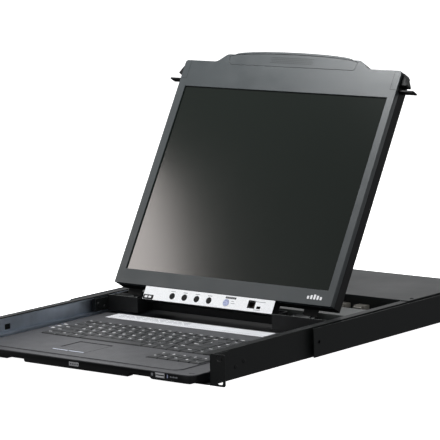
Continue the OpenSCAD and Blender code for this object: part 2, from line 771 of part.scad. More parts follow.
module key_board() color(board_green) rack_frame() {
    floor_z = tray_z0 + 1.6;
    block([-180, 20, key_board_z], [180, 216, key_board_z + 1.4]);
    for (x = [-168, -56, 56, 168])
        for (y = [30, 206])
            translate([x, y, floor_z]) cylinder(r = 3, h = key_board_z - floor_z);
}

module touchpad() color([0.24, 0.24, 0.25]) rack_frame() {
    block([touch_x[0] + 0.3, touch_y[0] + 0.3, 13], [touch_x[1] - 0.3, touch_y[1] - 0.3, deck_z - 0.5]);
    block([touch_x[0] + 6, touch_y[0] + 6, key_board_z + 1.4], [touch_x[1] - 6, touch_y[1] - 6, 13]);
}

module touchpad_button(x0, x1) rack_frame() {
    block([x0, tbtn_y[0] + 0.4, 12.6], [x1, tbtn_y[1] - 0.4, deck_z + 0.3]);
}

module touchpad_button_left() color(graphite)
    touchpad_button(touch_x[0] + 0.4, (touch_x[0] + touch_x[1]) / 2 - 0.3);

module touchpad_button_right() color(graphite)
    touchpad_button((touch_x[0] + touch_x[1]) / 2 + 0.3, touch_x[1] - 0.4);

module label_plate() color([0.86, 0.87, 0.87]) rack_frame()
    block([label_x[0] + 0.2, label_y[0] + 0.2, deck_z - seat_depth],
        [label_x[1] - 0.2, label_y[1] - 0.2, deck_z + 0.1]);

// Front bar with the pull handle in the middle and a port block at each end
module front_fascia() color(plastic_black) rack_frame() difference() {
    intersection() {
        front_bar();
        plate([-board_w / 2, fascia_front, 0], [board_w / 2, deck_back, tray_z1], rim_r);
    }
    // Recess with the socket
    block([usb_x[0] - usb_gap, fascia_front - 1, usb_z[0] - 0.3],
        [usb_x[1] + usb_gap, deck_front + 1, usb_z[1] + 0.3]);
}

module front_bar() {
    block([-board_w / 2, fascia_front, bar_z0], [board_w / 2, deck_front, tray_z1]);
    translate([0, deck_front, 0]) rotate([90, 0, 0]) linear_extrude(deck_front - fascia_front)
        polygon([[grip_x[0] + grip_cut, grip_z], [grip_x[1] - grip_cut, grip_z],
            [grip_x[1], grip_z + grip_cut], [grip_x[1], 8], [grip_x[0], 8], [grip_x[0], grip_z + grip_cut]]);
    both_sides() translate([0, deck_front, 0]) rotate([90, 0, 0])
        linear_extrude(deck_front - fascia_front)
            polygon([[132, 3], [198, 3], [203, 6], [203, tray_z1], [126, tray_z1], [126, 7]]);
}

module usb_port() color(zinc) rack_frame() difference() {
    block([usb_x[0], fascia_front + 0.6, usb_z[0]], [usb_x[1], deck_front, usb_z[1]]);
    block([usb_x[0] + 1, fascia_front, usb_z[0] + 0.8], [usb_x[1] - 1, deck_front - 2, usb_z[1] - 0.8]);
}

module keyboard_rails() color(zinc) rack_frame() both_sides() {
    plate_out = board_w / 2 + 1.6;
    front = board_rail_y[0] + runner_setback;
    back = board_rail_y[1] - runner_setback;
    block([board_w / 2, board_rail_y[0], board_rail_z[0]], [plate_out, board_rail_y[1], board_rail_z[1]]);
    block([plate_out, front, board_rail_z[0] + 2.5], [runner_in, back, board_rail_z[1] - 1.5]);
    block([runner_in, front, lip_z[0] + rail_t + runner_play], [runner_out, back, lip_z[1] - runner_play]);
}

module keyboard_screws() color(zinc) rack_frame()
    for (x = [-196, 196]) for (y = [20, 130, 260])
        translate([x, y, tray_z0 - 0.8]) cylinder(r = 2.6, h = 0.8);

base_pan();
side_wall_left();
side_wall_right();
rear_panel();
top_cover();
front_ear_left();
front_ear_right();
outer_rail_left();
outer_rail_right();
main_board();
board_chips();
power_supply();
computer_ports();
power_inlet();
harness_plugs();
chassis_screws();
board_standoffs();
rear_bracket_left();
rear_bracket_right();
power_rocker();
carriage_shell();
carriage_cover();
carriage_rail_left();
carriage_rail_right();
hinge_brackets();
hinge_pins();
front_bezel();
back_cover();
lcd_screen();
driver_board();
handle_insert();
control_housing();
control_board();
hinge_leaves();
upgrade_port();
monitor_screws();
menu_button_1();
menu_button_2();
menu_button_3();
menu_button_4();
monitor_power_button();
mode_switch();
lcd_catch_left();
lcd_catch_right();
keyboard_tray();
keyboard_deck();
front_fascia();
keyboard_rails();
key_board();
touchpad();
label_plate();
usb_port();
keyboard_screws();
keys_function_row();
keys_letters();
keys_keypad();
space_bar();
enter_key();
touchpad_button_left();
touchpad_button_right();
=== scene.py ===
"""Looks for the rack console drawer: camera, studio light, finishes and fine visible pieces."""
import json
import math

import bmesh
import bpy
from mathutils import Matrix, Vector


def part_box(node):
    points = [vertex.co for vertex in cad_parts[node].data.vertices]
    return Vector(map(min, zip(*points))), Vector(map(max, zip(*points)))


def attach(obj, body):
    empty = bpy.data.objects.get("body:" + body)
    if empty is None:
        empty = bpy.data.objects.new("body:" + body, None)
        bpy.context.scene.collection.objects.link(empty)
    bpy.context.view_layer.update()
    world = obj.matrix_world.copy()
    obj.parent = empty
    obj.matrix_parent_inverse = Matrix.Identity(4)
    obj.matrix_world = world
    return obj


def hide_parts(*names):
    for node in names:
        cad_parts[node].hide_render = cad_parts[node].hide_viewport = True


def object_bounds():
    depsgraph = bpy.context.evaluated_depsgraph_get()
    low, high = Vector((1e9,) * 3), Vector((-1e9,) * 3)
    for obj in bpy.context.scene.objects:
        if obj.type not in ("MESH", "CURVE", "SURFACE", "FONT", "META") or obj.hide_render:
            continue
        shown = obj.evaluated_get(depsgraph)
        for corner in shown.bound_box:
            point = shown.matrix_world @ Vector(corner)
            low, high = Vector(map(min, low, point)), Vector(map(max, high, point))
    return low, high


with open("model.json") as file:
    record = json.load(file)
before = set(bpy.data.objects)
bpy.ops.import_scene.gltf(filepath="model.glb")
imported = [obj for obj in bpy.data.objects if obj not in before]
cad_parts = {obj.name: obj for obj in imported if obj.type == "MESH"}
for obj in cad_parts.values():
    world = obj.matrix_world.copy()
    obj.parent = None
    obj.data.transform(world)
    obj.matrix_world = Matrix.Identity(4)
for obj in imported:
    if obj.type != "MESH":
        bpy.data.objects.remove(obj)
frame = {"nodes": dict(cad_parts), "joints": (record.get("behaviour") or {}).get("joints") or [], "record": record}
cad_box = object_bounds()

MM = 0.001
RECORD = frame["record"]
NODES = frame["nodes"]
SLOT_OF = {part["node"]: part["material_slot"] for part in RECORD["subparts"]}
BODY_OF = {node: body for body, nodes in RECORD["behaviour"]["bodies"].items() for node in nodes}

# ---------------------------------------------------------------------- camera

CAMERA_AT = Vector((2.5074, -2.8387, 0.7481))
CAMERA_YAW = math.radians(38.627)
CAMERA_PITCH = math.radians(8.535)
CAMERA_ROLL = math.radians(1.274)
CAMERA_LENS, CAMERA_SENSOR = 228.84, 36
FAR_CLIP = 200


def make_camera():
    """A long lens from the front right, a little above the drawer."""
    data = bpy.data.cameras.new("camera")
    data.lens = CAMERA_LENS
    data.sensor_width = CAMERA_SENSOR
    data.clip_end = FAR_CLIP
    camera = bpy.data.objects.new("camera", data)
    bpy.context.scene.collection.objects.link(camera)
    forward = Vector((-math.sin(CAMERA_YAW) * math.cos(CAMERA_PITCH),
                      math.cos(CAMERA_YAW) * math.cos(CAMERA_PITCH),
                      -math.sin(CAMERA_PITCH)))
    right = Vector((math.cos(CAMERA_YAW), math.sin(CAMERA_YAW), 0))
    down = forward.cross(right)
    across = math.cos(CAMERA_ROLL) * right + math.sin(CAMERA_ROLL) * down
    below = math.cos(CAMERA_ROLL) * down - math.sin(CAMERA_ROLL) * right
    turn = Matrix((across, -below, -forward)).transposed().to_4x4()
    camera.matrix_world = Matrix.Translation(CAMERA_AT) @ turn
    bpy.context.scene.camera = camera


make_camera()

# ------------------------------------------------------------------- materials

SOCKETS = {"level": "Specular IOR Level", "metallic": "Metallic", "glow": "Emission Strength",
           "glow_color": "Emission Color", "transmission": "Transmission Weight"}


class Tree:
    """A material's node tree with a Principled shader at its end."""

    def __init__(self, name, **sockets):
        self.material = bpy.data.materials.new(name)
        self.material.use_nodes = True
        self.nodes = self.material.node_tree.nodes
        self.shader = self.nodes["Principled BSDF"]
        for socket, value in sockets.items():
            self.shader.inputs[SOCKETS[socket]].default_value = value
        self.place = self.add("ShaderNodeTexCoord").outputs["Object"]

    def add(self, kind, inputs=None, **settings):
        node = self.nodes.new(kind)
        for setting, value in settings.items():
            setattr(node, setting, value)
        for socket, value in (inputs or {}).items():
            self.set(node.inputs[socket], value)
        return node

    def set(self, socket, value):
        if isinstance(value, bpy.types.NodeSocket):
            self.material.node_tree.links.new(value, socket)
        else:
            socket.default_value = value

    def scaled(self, factors):
        return self.add("ShaderNodeMapping", {"Vector": self.place, "Scale": factors}).outputs["Vector"]

    def noise(self, scale, detail=3, vector=None):
        return self.add("ShaderNodeTexNoise", {"Vector": vector or self.place, "Scale": scale,
                                               "Detail": detail}).outputs["Fac"]

    def spread(self, value, low, high, start=0.3, end=0.7):
        return self.add("ShaderNodeMapRange", {"Value": value, "From Min": start, "From Max": end,
                                               "To Min": low, "To Max": high}).outputs["Result"]

    def blend(self, factor, first, second):
        node = self.add("ShaderNodeMix", data_type="RGBA")
        for socket, value in ((0, factor), (6, first), (7, second)):       # 6 and 7 are its two colours
            self.set(node.inputs[socket], value)
        return node.outputs[2]

    def bump(self, height, depth, below=None):
        inputs = {"Height": height, "Distance": depth, "Strength": 1.0}
        if below:
            inputs["Normal"] = below
        return self.add("ShaderNodeBump", inputs).outputs["Normal"]

    def edges(self, radius):
        """1 along the edges of a shape and 0 on its faces."""
        round_normal = self.add("ShaderNodeBevel", {"Radius": radius}, samples=4).outputs["Normal"]
        flat_normal = self.add("ShaderNodeNewGeometry").outputs["Normal"]
        cosine = self.add("ShaderNodeVectorMath", {0: round_normal, 1: flat_normal},
                          operation="DOT_PRODUCT").outputs["Value"]
        return self.spread(cosine, 1, 0, 0.80, 0.97)

    def finish(self, colour=None, rough=None, normal=None):
        for socket, value in (("Base Color", colour), ("Roughness", rough), ("Normal", normal)):
            if value is not None:
                self.set(self.shader.inputs[socket], value)
        return self.material


def tone(colour, factor=1.0):
    return tuple(min(1.0, channel * factor) for channel in colour) + (1.0,)


def powder_coat(name, colour, rough, level, worn=(0.16, 0.16, 0.165)):
    """Satin paint on sheet steel: an orange-peel skin, handling marks and rubbed edges."""
    tree = Tree(name, level=level)
    patches = tree.noise(scale=14, detail=4)
    peel = tree.noise(scale=520, detail=2)
    scuff = tree.noise(scale=90, detail=5, vector=tree.scaled((1, 0.12, 1)))
    paint = tree.blend(tree.spread(patches, 0, 1), tone(colour, 0.86), tone(colour, 1.16))
    wear = tree.add("ShaderNodeMath", {0: tree.edges(0.6 * MM), 1: tree.spread(scuff, 0.0, 0.55, 0.5, 0.75)},
                    operation="MULTIPLY").outputs[0]
    paint = tree.blend(wear, paint, tone(worn))
    rough_map = tree.spread(patches, rough - 0.05, rough + 0.06)
    fine = tree.bump(tree.noise(scale=2400, detail=2), 0.01 * MM)
    return tree.finish(paint, rough_map, tree.bump(peel, 0.04 * MM, fine))


def moulded(name, colour, rough, level, grain=0.05 * MM, size=1300):
    """Injection-moulded plastic with a spark-eroded texture and faint handling sheen."""
    tree = Tree(name, level=level)
    patches = tree.noise(scale=11, detail=3)
    cells = tree.add("ShaderNodeTexVoronoi", {"Vector": tree.place, "Scale": size}).outputs["Distance"]
    fine = tree.bump(tree.noise(scale=size * 1.7, detail=3), grain * 0.5)
    base = tree.blend(tree.spread(patches, 0, 1), tone(colour, 0.93), tone(colour, 1.08))
    rubbed = tree.spread(tree.noise(scale=38, detail=5), rough - 0.04, rough + 0.05)
    return tree.finish(base, rubbed, tree.bump(cells, grain, fine))


def plated(name, colour, rough, along=(60, 1.5, 60)):
    """Zinc-plated strip: rolling lines along the part and a blotchy passivation."""
    tree = Tree(name, metallic=1.0)
    lines = tree.noise(scale=40, detail=5, vector=tree.scaled(along))
    blotch = tree.noise(scale=26, detail=5)
    base = tree.blend(tree.spread(blotch, 0, 1), tone(colour, 0.78), tone(colour, 1.12))
    return tree.finish(base, tree.spread(lines, rough - 0.08, rough + 0.12),
                       tree.bump(lines, 0.03 * MM))


def screen_glass(name):
    """Dark panel behind an anti-glare film."""
    tree = Tree(name, level=0.5)
    tint = tree.blend(tree.noise(scale=3, detail=2), (0.0065, 0.0092, 0.0074, 1), (0.0085, 0.0118, 0.0094, 1))
    sparkle = tree.bump(tree.noise(scale=3800, detail=1), 0.004 * MM)
    return tree.finish(tint, tree.spread(tree.noise(scale=7, detail=2), 0.125, 0.140), sparkle)


def circuit_board(name):
    """Green solder mask over copper tracks."""
    tree = Tree(name, level=0.5)
    tracks = tree.add("ShaderNodeTexBrick", {"Vector": tree.place, "Scale": 60, "Mortar Size": 0.012,
                                             "Brick Width": 0.9, "Row Height": 0.14})
    copper = tree.spread(tracks.outputs["Fac"], 0, 1, 0.2, 0.8)
    mask = tree.blend(copper, (0.010, 0.085, 0.040, 1), (0.045, 0.190, 0.085, 1))
    return tree.finish(mask, tree.spread(tree.noise(scale=60), 0.28, 0.42), tree.bump(copper, 0.03 * MM))


def printed(name, colour, rough=0.5):
    """Screen-printed ink with slightly uneven cover."""
    tree = Tree(name)
    cover = tree.noise(scale=700, detail=3)
    ink = tree.blend(tree.spread(cover, 0, 1), tone(colour, 0.86), tone(colour, 1.04))
    return tree.finish(ink, tree.spread(cover, rough - 0.05, rough + 0.08), tree.bump(cover, 0.01 * MM))


def lens(name, colour, glow):
    """A translucent indicator that glows from inside."""
    tree = Tree(name, glow=glow, transmission=0.15)
    cloud = tree.noise(scale=240, detail=3)
    tint = tree.blend(tree.spread(cloud, 0, 1), tone(colour, 0.80), tone(colour, 1.10))
    tree.set(tree.shader.inputs["Emission Color"], tint)
    return tree.finish(tint, tree.spread(cloud, 0.22, 0.34), tree.bump(cloud, 0.02 * MM))


FINISH = {
    "black_steel": powder_coat("black_steel", (0.0105, 0.0118, 0.0118), 0.46, 0.17),
    "grey_steel": powder_coat("grey_steel", (0.038, 0.042, 0.042), 0.50, 0.36),
    "zinc_steel": plated("zinc_steel", (0.62, 0.69, 0.78), 0.36),
    "bright_steel": plated("bright_steel", (0.62, 0.62, 0.64), 0.26, (1, 1, 1)),
    "graphite_plastic": moulded("graphite_plastic", (0.029, 0.037, 0.040), 0.40, 0.60),
    "black_plastic": moulded("black_plastic", (0.0078, 0.0082, 0.0086), 0.50, 0.20),
    "deck_plastic": moulded("deck_plastic", (0.062, 0.063, 0.068), 0.44, 0.55),
    "key_plastic": moulded("key_plastic", (0.032, 0.034, 0.036), 0.42, 0.50, 0.03 * MM),
    "silver_plastic": moulded("silver_plastic", (0.80, 0.81, 0.83), 0.38, 0.50, 0.02 * MM),
    "blue_lens": lens("blue_lens", (0.36, 0.40, 0.60), 0.12),
    "screen_glass": screen_glass("screen_glass"),
    "circuit_board": circuit_board("circuit_board"),
    "nylon": moulded("nylon", (0.52, 0.49, 0.43), 0.45, 0.45, 0.03 * MM),
}
INK_WHITE = printed("ink_white", (0.88, 0.88, 0.89))
STRIP_WHITE = printed("strip_white", (0.93, 0.94, 0.95), 0.6)
INK_GREY = printed("ink_grey", (0.30, 0.31, 0.33))
INK_BLACK = printed("ink_black", (0.012, 0.012, 0.013))
SHADOW = moulded("shadow_black", (0.004, 0.004, 0.004), 0.7, 0.1)
GOLD = plated("contact_gold", (0.80, 0.58, 0.26), 0.28, (1, 1, 1))
WIRE_GREY = moulded("wire_grey", (0.36, 0.34, 0.31), 0.45, 0.4, 0.02 * MM)
WIRE_TAN = moulded("wire_tan", (0.48, 0.36, 0.24), 0.45, 0.4, 0.02 * MM)
WIRE_BLACK = moulded("wire_black", (0.015, 0.015, 0.016), 0.45, 0.4, 0.02 * MM)
# painted light: a grey lighter than the cover's own, used where the carriage sits in the monitor's shade and for
# the painted highlight on the carriage edge
PAINTED_LIGHT_GREY = powder_coat("painted_light_grey", (0.125, 0.136, 0.130), 0.50, 0.40)
# painted highlight: pale blue plastic for the light glancing along the touchpad buttons' front edges
HIGHLIGHT_BLUE = moulded("painted_highlight_blue", (0.52, 0.56, 0.66), 0.30, 0.6, 0.02 * MM)
# the carriage cover is painted lighter than its slot's grey steel, as painted light that makes up for the
# monitor's shade over it
FINISH_OF = {"carriage_cover": PAINTED_LIGHT_GREY}      # nodes that differ from their slot's usual finish


def finish_of(node):
    return FINISH_OF.get(node, FINISH[SLOT_OF[node]])


for node, node_object in NODES.items():
    node_object.data.materials.clear()
    node_object.data.materials.append(finish_of(node))

# ---------------------------------------------------------------- mesh helpers

NARROW = 0.6 * MM                   # area of a rounded rim's face over its outline
CURVE_ANGLES = (0.02, 0.2)          # between neighbour faces of a curved wall, in radians
WELD = 2e-6
FLAT_ANGLE = math.radians(0.6)
SHARP_ANGLE = math.radians(38)
SOFT_SEGMENTS = 2
PRINT_REACH = 0.2 * MM
CORNER_STEPS = 3
RIM_SHARE = 0.5                     # of a block's corner radius or half its height
LEAST_INNER = 0.3                   # of a block's corner radius
TUBE_STEPS, TUBE_SIDES = 6, 10
NO_LEAD_DIRECTION = Vector((0.31, 0.02, 0.95))


def new_object(name, mesh, body, materials):
    """A visual piece that moves with a body and carries the given materials."""
    made = bpy.data.objects.new(name, mesh)
    bpy.context.scene.collection.objects.link(made)
    for material in materials:
        mesh.materials.append(material)
    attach(made, body)
    return made


def mesh_from(name, shape, smooth_angle=35):
    """Turns a bmesh into a mesh whose rims and curved walls are smooth and whose flat faces stay flat."""
    mesh = bpy.data.meshes.new(name)
    shape.normal_update()
    limit = math.radians(smooth_angle)
    for face in shape.faces:
        rim = sum(edge.calc_length() for edge in face.edges)
        narrow = face.calc_area() < NARROW * rim
        curved = any(len(edge.link_faces) == 2
                     and CURVE_ANGLES[0] < edge.calc_face_angle(0) < CURVE_ANGLES[1] for edge in face.edges)
        face.smooth = narrow or curved
    for edge in shape.edges:
        edge.smooth = len(edge.link_faces) == 2 and edge.calc_face_angle(0) < limit
    shape.to_mesh(mesh)
    shape.free()
    return mesh


def welded(node):
    """The node's mesh as a bmesh, with its flat faces whole again."""
    shape = bmesh.new()
    shape.from_mesh(NODES[node].data)
    bmesh.ops.remove_doubles(shape, verts=shape.verts, dist=WELD)
    bmesh.ops.dissolve_limit(shape, angle_limit=FLAT_ANGLE, verts=shape.verts,
                             edges=shape.edges, delimit=set())
    return shape


def soften(node, width, printed_side=None, push=None):
    """Stands in for a CAD node with the same shape whose sharp edges are rounded.

    printed_side is a direction and the material of the outermost faces that look that way.
    push is an axis, a level and a distance: points beyond the level are set back by it.
    """
    shape = welded(node)
    if push:
        axis, level, distance = push
        for vertex in shape.verts:
            if vertex.co[axis] < level:
                vertex.co[axis] += distance
    sharp = [e for e in shape.edges if len(e.link_faces) == 2 and e.calc_face_angle(0) > SHARP_ANGLE]
    bmesh.ops.bevel(shape, geom=sharp, offset=width, offset_type="OFFSET", segments=SOFT_SEGMENTS,
                    profile=0.5, affect="EDGES", clamp_overlap=True)
    materials = [finish_of(node)]
    if printed_side:
        direction, ink = printed_side
        materials.append(ink)
        shape.normal_update()
        looking = [f for f in shape.faces if f.normal.dot(direction) > 0.999]
        reach = max(f.calc_center_median().dot(direction) for f in looking)
        for face in looking:
            if face.calc_center_median().dot(direction) > reach - PRINT_REACH:
                face.material_index = 1
    made = new_object(node + "_finish", mesh_from(node + "_finish", shape, 30), BODY_OF[node],
                      materials)
    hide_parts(node)


def solids(node):
    """Lowest and highest corner of each separate solid in a node, from left to right."""
    shape = welded(node)
    left = set(shape.verts)
    boxes = []
    while left:
        group, front = set(), [left.pop()]
        while front:
            vertex = front.pop()
            group.add(vertex)
            for edge in vertex.link_edges:
                other = edge.other_vert(vertex)
                if other in left:
                    left.discard(other)
                    front.append(other)
        low = Vector(min(v.co[i] for v in group) for i in range(3))
        high = Vector(max(v.co[i] for v in group) for i in range(3))
        boxes.append((low, high))
    shape.free()
    return sorted(boxes, key=lambda box: tuple(box[0]))


def rounded_ring(low, high, radius, height):
    """Points of a rectangle with round corners, at one height."""
    ring = []
    corners = ((high.x, high.y, 0), (low.x, high.y, 90), (low.x, low.y, 180), (high.x, low.y, 270))
    for x, y, start in corners:
        centre_x = x - math.copysign(radius, x - (low.x + high.x) / 2)
        centre_y = y - math.copysign(radius, y - (low.y + high.y) / 2)
        for step in range(CORNER_STEPS + 1):
            turn = math.radians(start + 90 * step / CORNER_STEPS)
            ring.append(Vector((centre_x + radius * math.cos(turn),
                                centre_y + radius * math.sin(turn), height)))
    return ring


def loft(shape, rings):
    """Skins a stack of rings with the same number of points and closes both ends."""
    loops = [[shape.verts.new(point) for point in ring] for ring in rings]
    count = len(loops[0])
    for lower, upper in zip(loops, loops[1:]):
        for i in range(count):
            j = (i + 1) % count
            shape.faces.new((lower[i], lower[j], upper[j], upper[i]))
    shape.faces.new(loops[-1])
    shape.faces.new(list(reversed(loops[0])))


def rounded_block(shape, low, high, radius, turn):
    """A block with round upright corners and a softened rim, in the turned frame."""
    soft = min(radius, (high.z - low.z) / 2) * RIM_SHARE
    inner_low, inner_high = low + Vector((soft, soft, 0)), high - Vector((soft, soft, 0))
    inner = max(radius - soft, radius * LEAST_INNER)
    rings = [rounded_ring(inner_low, inner_high, inner, low.z),
             rounded_ring(low, high, radius, low.z + soft),
             rounded_ring(low, high, radius, high.z - soft),
             rounded_ring(inner_low, inner_high, inner, high.z)]
    loft(shape, [[turn @ point for point in ring] for ring in rings])


def tube(shape, path, radius):
    """A round lead along a smooth curve through the points of the path."""
    fine = []
    for i in range(len(path) - 1):
        before, after = path[max(i - 1, 0)], path[min(i + 2, len(path) - 1)]
        for step in range(TUBE_STEPS):
            t = step / TUBE_STEPS
            fine.append(0.5 * (2 * path[i] + (path[i + 1] - before) * t
                               + (2 * before - 5 * path[i] + 4 * path[i + 1] - after) * t * t
                               + (3 * path[i] - before - 3 * path[i + 1] + after) * t ** 3))
    fine.append(path[-1])
    rings = []
    for i, point in enumerate(fine):
        ahead = (fine[min(i + 1, len(fine) - 1)] - fine[max(i - 1, 0)]).normalized()
        side = ahead.cross(NO_LEAD_DIRECTION).normalized()
        rise = side.cross(ahead)
        turns = [math.tau * k / TUBE_SIDES for k in range(TUBE_SIDES)]
        rings.append([point + radius * (math.cos(turn) * side + math.sin(turn) * rise) for turn in turns])
    loft(shape, rings)


def text_mesh(words, size, weight):
    """Flat glyphs as (points, faces) for a list of words, each centred on its own origin."""
    objects = []
    for word in words:
        data = bpy.data.curves.new("glyph", "FONT")
        data.body = word
        data.size = size
        data.offset = weight
        data.resolution_u = 2
        data.align_x, data.align_y = "CENTER", "CENTER"
        made = bpy.data.objects.new("glyph", data)
        bpy.context.scene.collection.objects.link(made)
        objects.append(made)
    bpy.context.view_layer.update()
    graph = bpy.context.evaluated_depsgraph_get()
    glyphs = {}
    for word, made in zip(words, objects):
        mesh = made.evaluated_get(graph).to_mesh()
        glyphs[word] = ([v.co.copy() for v in mesh.vertices], [tuple(p.vertices) for p in mesh.polygons])
        made.evaluated_get(graph).to_mesh_clear()
    for made in objects:
        data = made.data
        bpy.data.objects.remove(made)
        bpy.data.curves.remove(data)
    return glyphs


def add_glyph(shape, glyph, turn):
    points, faces = glyph
    made = [shape.verts.new(turn @ point) for point in points]
    for face in faces:
        shape.faces.new([made[i] for i in face])


def thicken(shape, depth):
    """Turns flat glyphs into prisms that reach down behind them."""
    shape.normal_update()
    normal = shape.faces[:][0].normal.copy()
    made = bmesh.ops.extrude_face_region(shape, geom=list(shape.faces), use_keep_orig=True)
    for item in made["geom"]:
        if isinstance(item, bmesh.types.BMVert):
            item.co -= normal * depth
    bmesh.ops.recalc_face_normals(shape, faces=shape.faces)

# ------------------------------------------------- surfaces that pieces lie on

TILT = next(joint for joint in frame["joints"] if joint["name"] == "monitor_tilt")
LEAN = math.radians(TILT["range_deg"][1] - 90)
HINGE_BEHIND_FACE = 15.7 * MM
HINGE_BELOW_EDGE = 19.5 * MM
FASCIA_SETBACK = 0.4 * MM
FASCIA_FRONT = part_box("front_fascia")[0].y + FASCIA_SETBACK
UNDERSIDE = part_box("base_pan")[0].z
STAND_UP = Matrix.Rotation(math.pi / 2, 4, "X")
LARGEST_CORNER = 0.45      # of the narrowest side of a plate
DISC_SIDES = 14
DISC_RIM = 0.02            # mm

# Bezel face: x across, y up from the lower edge of the bezel, z out of the face
FACE = (Matrix.Translation(TILT["pos_m"]) @ Matrix.Rotation(-LEAN, 4, "X") @ STAND_UP
        @ Matrix.Translation((0, HINGE_BELOW_EDGE, HINGE_BEHIND_FACE)))
# Front bar: x across, y up from the underside of the chassis, z towards the user
ON_FASCIA = Matrix.Translation((0, FASCIA_FRONT, UNDERSIDE)) @ STAND_UP
# Rear panel: x to the right as seen from behind, y up from the underside, z out of the panel
ON_REAR = (Matrix.Translation((0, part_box("rear_panel")[1].y, UNDERSIDE))
           @ Matrix.Rotation(math.pi, 4, "Z") @ STAND_UP)


def top_of(node):
    """The level of a node's top: x across, y to the back, z up."""
    return Matrix.Translation((0, 0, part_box(node)[1].z))


def middle_on(surface, node):
    """Where the middle of a node lies on a surface, in mm."""
    low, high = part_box(node)
    middle = surface.inverted() @ ((low + high) / 2)
    return middle.x / MM, middle.y / MM


def plan(node):
    """The left, front, right and back limits of a node, in mm."""
    low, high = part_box(node)
    return low.x / MM, low.y / MM, high.x / MM, high.y / MM


def moved(x, y, block):
    """A block (x0, y0, x1, y1, lower and upper level, in mm) moved over its surface."""
    x0, y0, x1, y1, lower, upper = block
    return x + x0, y + y0, x + x1, y + y1, lower, upper


def row_of(count, pitch, block):
    """The same block several times along x."""
    return [moved(pitch * index, 0, block) for index in range(count)]


def plates(name, body, material, blocks, surface, radius):
    """Several thin plates with round corners on a surface, as one piece; sizes are in mm."""
    shape = bmesh.new()
    for x0, y0, x1, y1, lower, upper in blocks:
        narrowest = min(x1 - x0, y1 - y0)
        rounded_block(shape, Vector((x0, y0, lower)) * MM, Vector((x1, y1, upper)) * MM,
                      min(radius, narrowest * LARGEST_CORNER) * MM, surface)
    return new_object(name, mesh_from(name, shape, 30), body, [material])


def discs(name, body, material, places, radius, levels, surface):
    """Several thin round plates on a surface, as one piece; sizes are in mm."""
    lower, upper = levels
    profile = ((radius, lower), (radius, upper - DISC_RIM), (radius * 0.9, upper))
    turns = [math.tau * k / DISC_SIDES for k in range(DISC_SIDES)]
    ways = [(math.cos(turn), math.sin(turn)) for turn in turns]
    shape = bmesh.new()
    for x, y in places:
        rings = []
        for reach, level in profile:
            points = [Vector((x + reach * across, y + reach * up, level)) for across, up in ways]
            rings.append([surface @ (point * MM) for point in points])
        loft(shape, rings)
    return new_object(name, mesh_from(name, shape, 40), body, [material])

# --------------------------------------------------------- softened CAD shells

SOFT_WIDTHS = {            # mm
    "front_bezel": 0.9, "back_cover": 1.0, "keyboard_deck": 0.7, "front_fascia": 0.7,
    "keyboard_tray": 0.6, "side_wall_left": 0.45, "side_wall_right": 0.45, "top_cover": 0.35,
    "front_ear_left": 0.5, "front_ear_right": 0.5, "rear_bracket_left": 0.5, "rear_bracket_right": 0.5,
    "carriage_shell": 0.3, "carriage_cover": 0.35, "carriage_rail_left": 0.35, "carriage_rail_right": 0.35,
    "outer_rail_left": 0.3, "outer_rail_right": 0.3, "keyboard_rails": 0.3, "control_housing": 0.5,
    "handle_insert": 0.3, "touchpad": 0.3, "touchpad_button_left": 0.6, "touchpad_button_right": 0.6,
    "label_plate": 0.1, "lcd_catch_left": 0.4, "lcd_catch_right": 0.4, "rear_panel": 0.3,
    "power_supply": 0.4, "computer_ports": 0.35, "power_inlet": 0.6, "power_rocker": 0.6,
    "usb_port": 0.15, "hinge_brackets": 0.4, "hinge_leaves": 0.35, "harness_plugs": 0.5,
    "upgrade_port": 0.2, "mode_switch": 0.2, "driver_board": 0.2, "main_board": 0.2,
    "board_chips": 0.2, "base_pan": 0.3, "control_board": 0.2, "key_board": 0.2, "lcd_screen": 0.3,
}
SOFT_OPTIONS = {
    "control_housing": {"printed_side": (FACE.to_3x3() @ Vector((0, 0, 1)), STRIP_WHITE)},
    "front_fascia": {"push": (1, FASCIA_FRONT, FASCIA_SETBACK)},
}
for softened_node, softened_width in SOFT_WIDTHS.items():
    soften(softened_node, softened_width * MM, **SOFT_OPTIONS.get(softened_node, {}))

# ------------------------------------------------------------------------ keys

KEY_ROWS = {
    "keys_letters": [
        ["Ctrl", "Alt", "Fn", "Alt", "Fn", "Opt", "Ctrl"],
        ["Shift"] + list("ZXCVBNM,./") + ["Shift"],
        ["Caps"] + list("ASDFGHJKL;'"),
        ["Tab"] + list("QWERTYUIOP[]") + ["\\"],
        list("`1234567890-=") + ["Back"],
    ],
    "keys_function_row": [["Esc"] + ["F%d" % i for i in range(1, 13)] + ["Prt", "Scr"]],
    "keys_keypad": [
        ["<", "v", ">", "0", "."],
        ["7", "8", "^", "9", "+"],
        ["<", "v", ">"],
        ["End", "^", "Pg"],
        ["4", "5", "6"],
        ["Del", "End", "Pg"],
        ["Ins", "Hm", "Pg"],
        ["Num", "/", "*"],
    ],
    "space_bar": [[""]],
    "enter_key": [["Enter"]],
}
SAME_ROW = 3 * MM
KEY_CORNER = 1.3 * MM
KEY_SKIRT = 1.2 * MM
KEY_SHOULDER = 0.9 * MM
KEY_EDGE = 0.12 * MM
KEY_TOP_INSET = Vector((1.5, 1.2, 0)) * MM
KEY_RIM = Vector((0.5, 0.5, 0)) * MM
KEY_DISH_INSET = Vector((2.6, 2.6, 0)) * MM
KEY_DISH = 0.35 * MM
FRONT_SLOPE = 0.75         # share of the top's inset that the left and front sides have
FRONT_SHOULDER, BACK_SHOULDER = 0.35, 0.45      # the same, at the height of the shoulder
LETTER_SIZE, LETTER_WEIGHT = 6.0 * MM, 0.30 * MM
WORD_SIZE, WORD_WEIGHT = 3.4 * MM, 0.15 * MM
LETTER_FROM_LEFT = 5.5 * MM
WORD_FROM_LEFT, WORD_FROM_LEFT_EACH = 3.0 * MM, 1.02 * MM
DEEP_KEY = 14 * MM
LEGEND_FROM_BACK, DEEP_LEGEND_FROM_BACK = 5.0 * MM, 4.4 * MM
LEGEND_LIFT = 0.02 * MM
LEGEND_DEPTH = 0.5 * MM


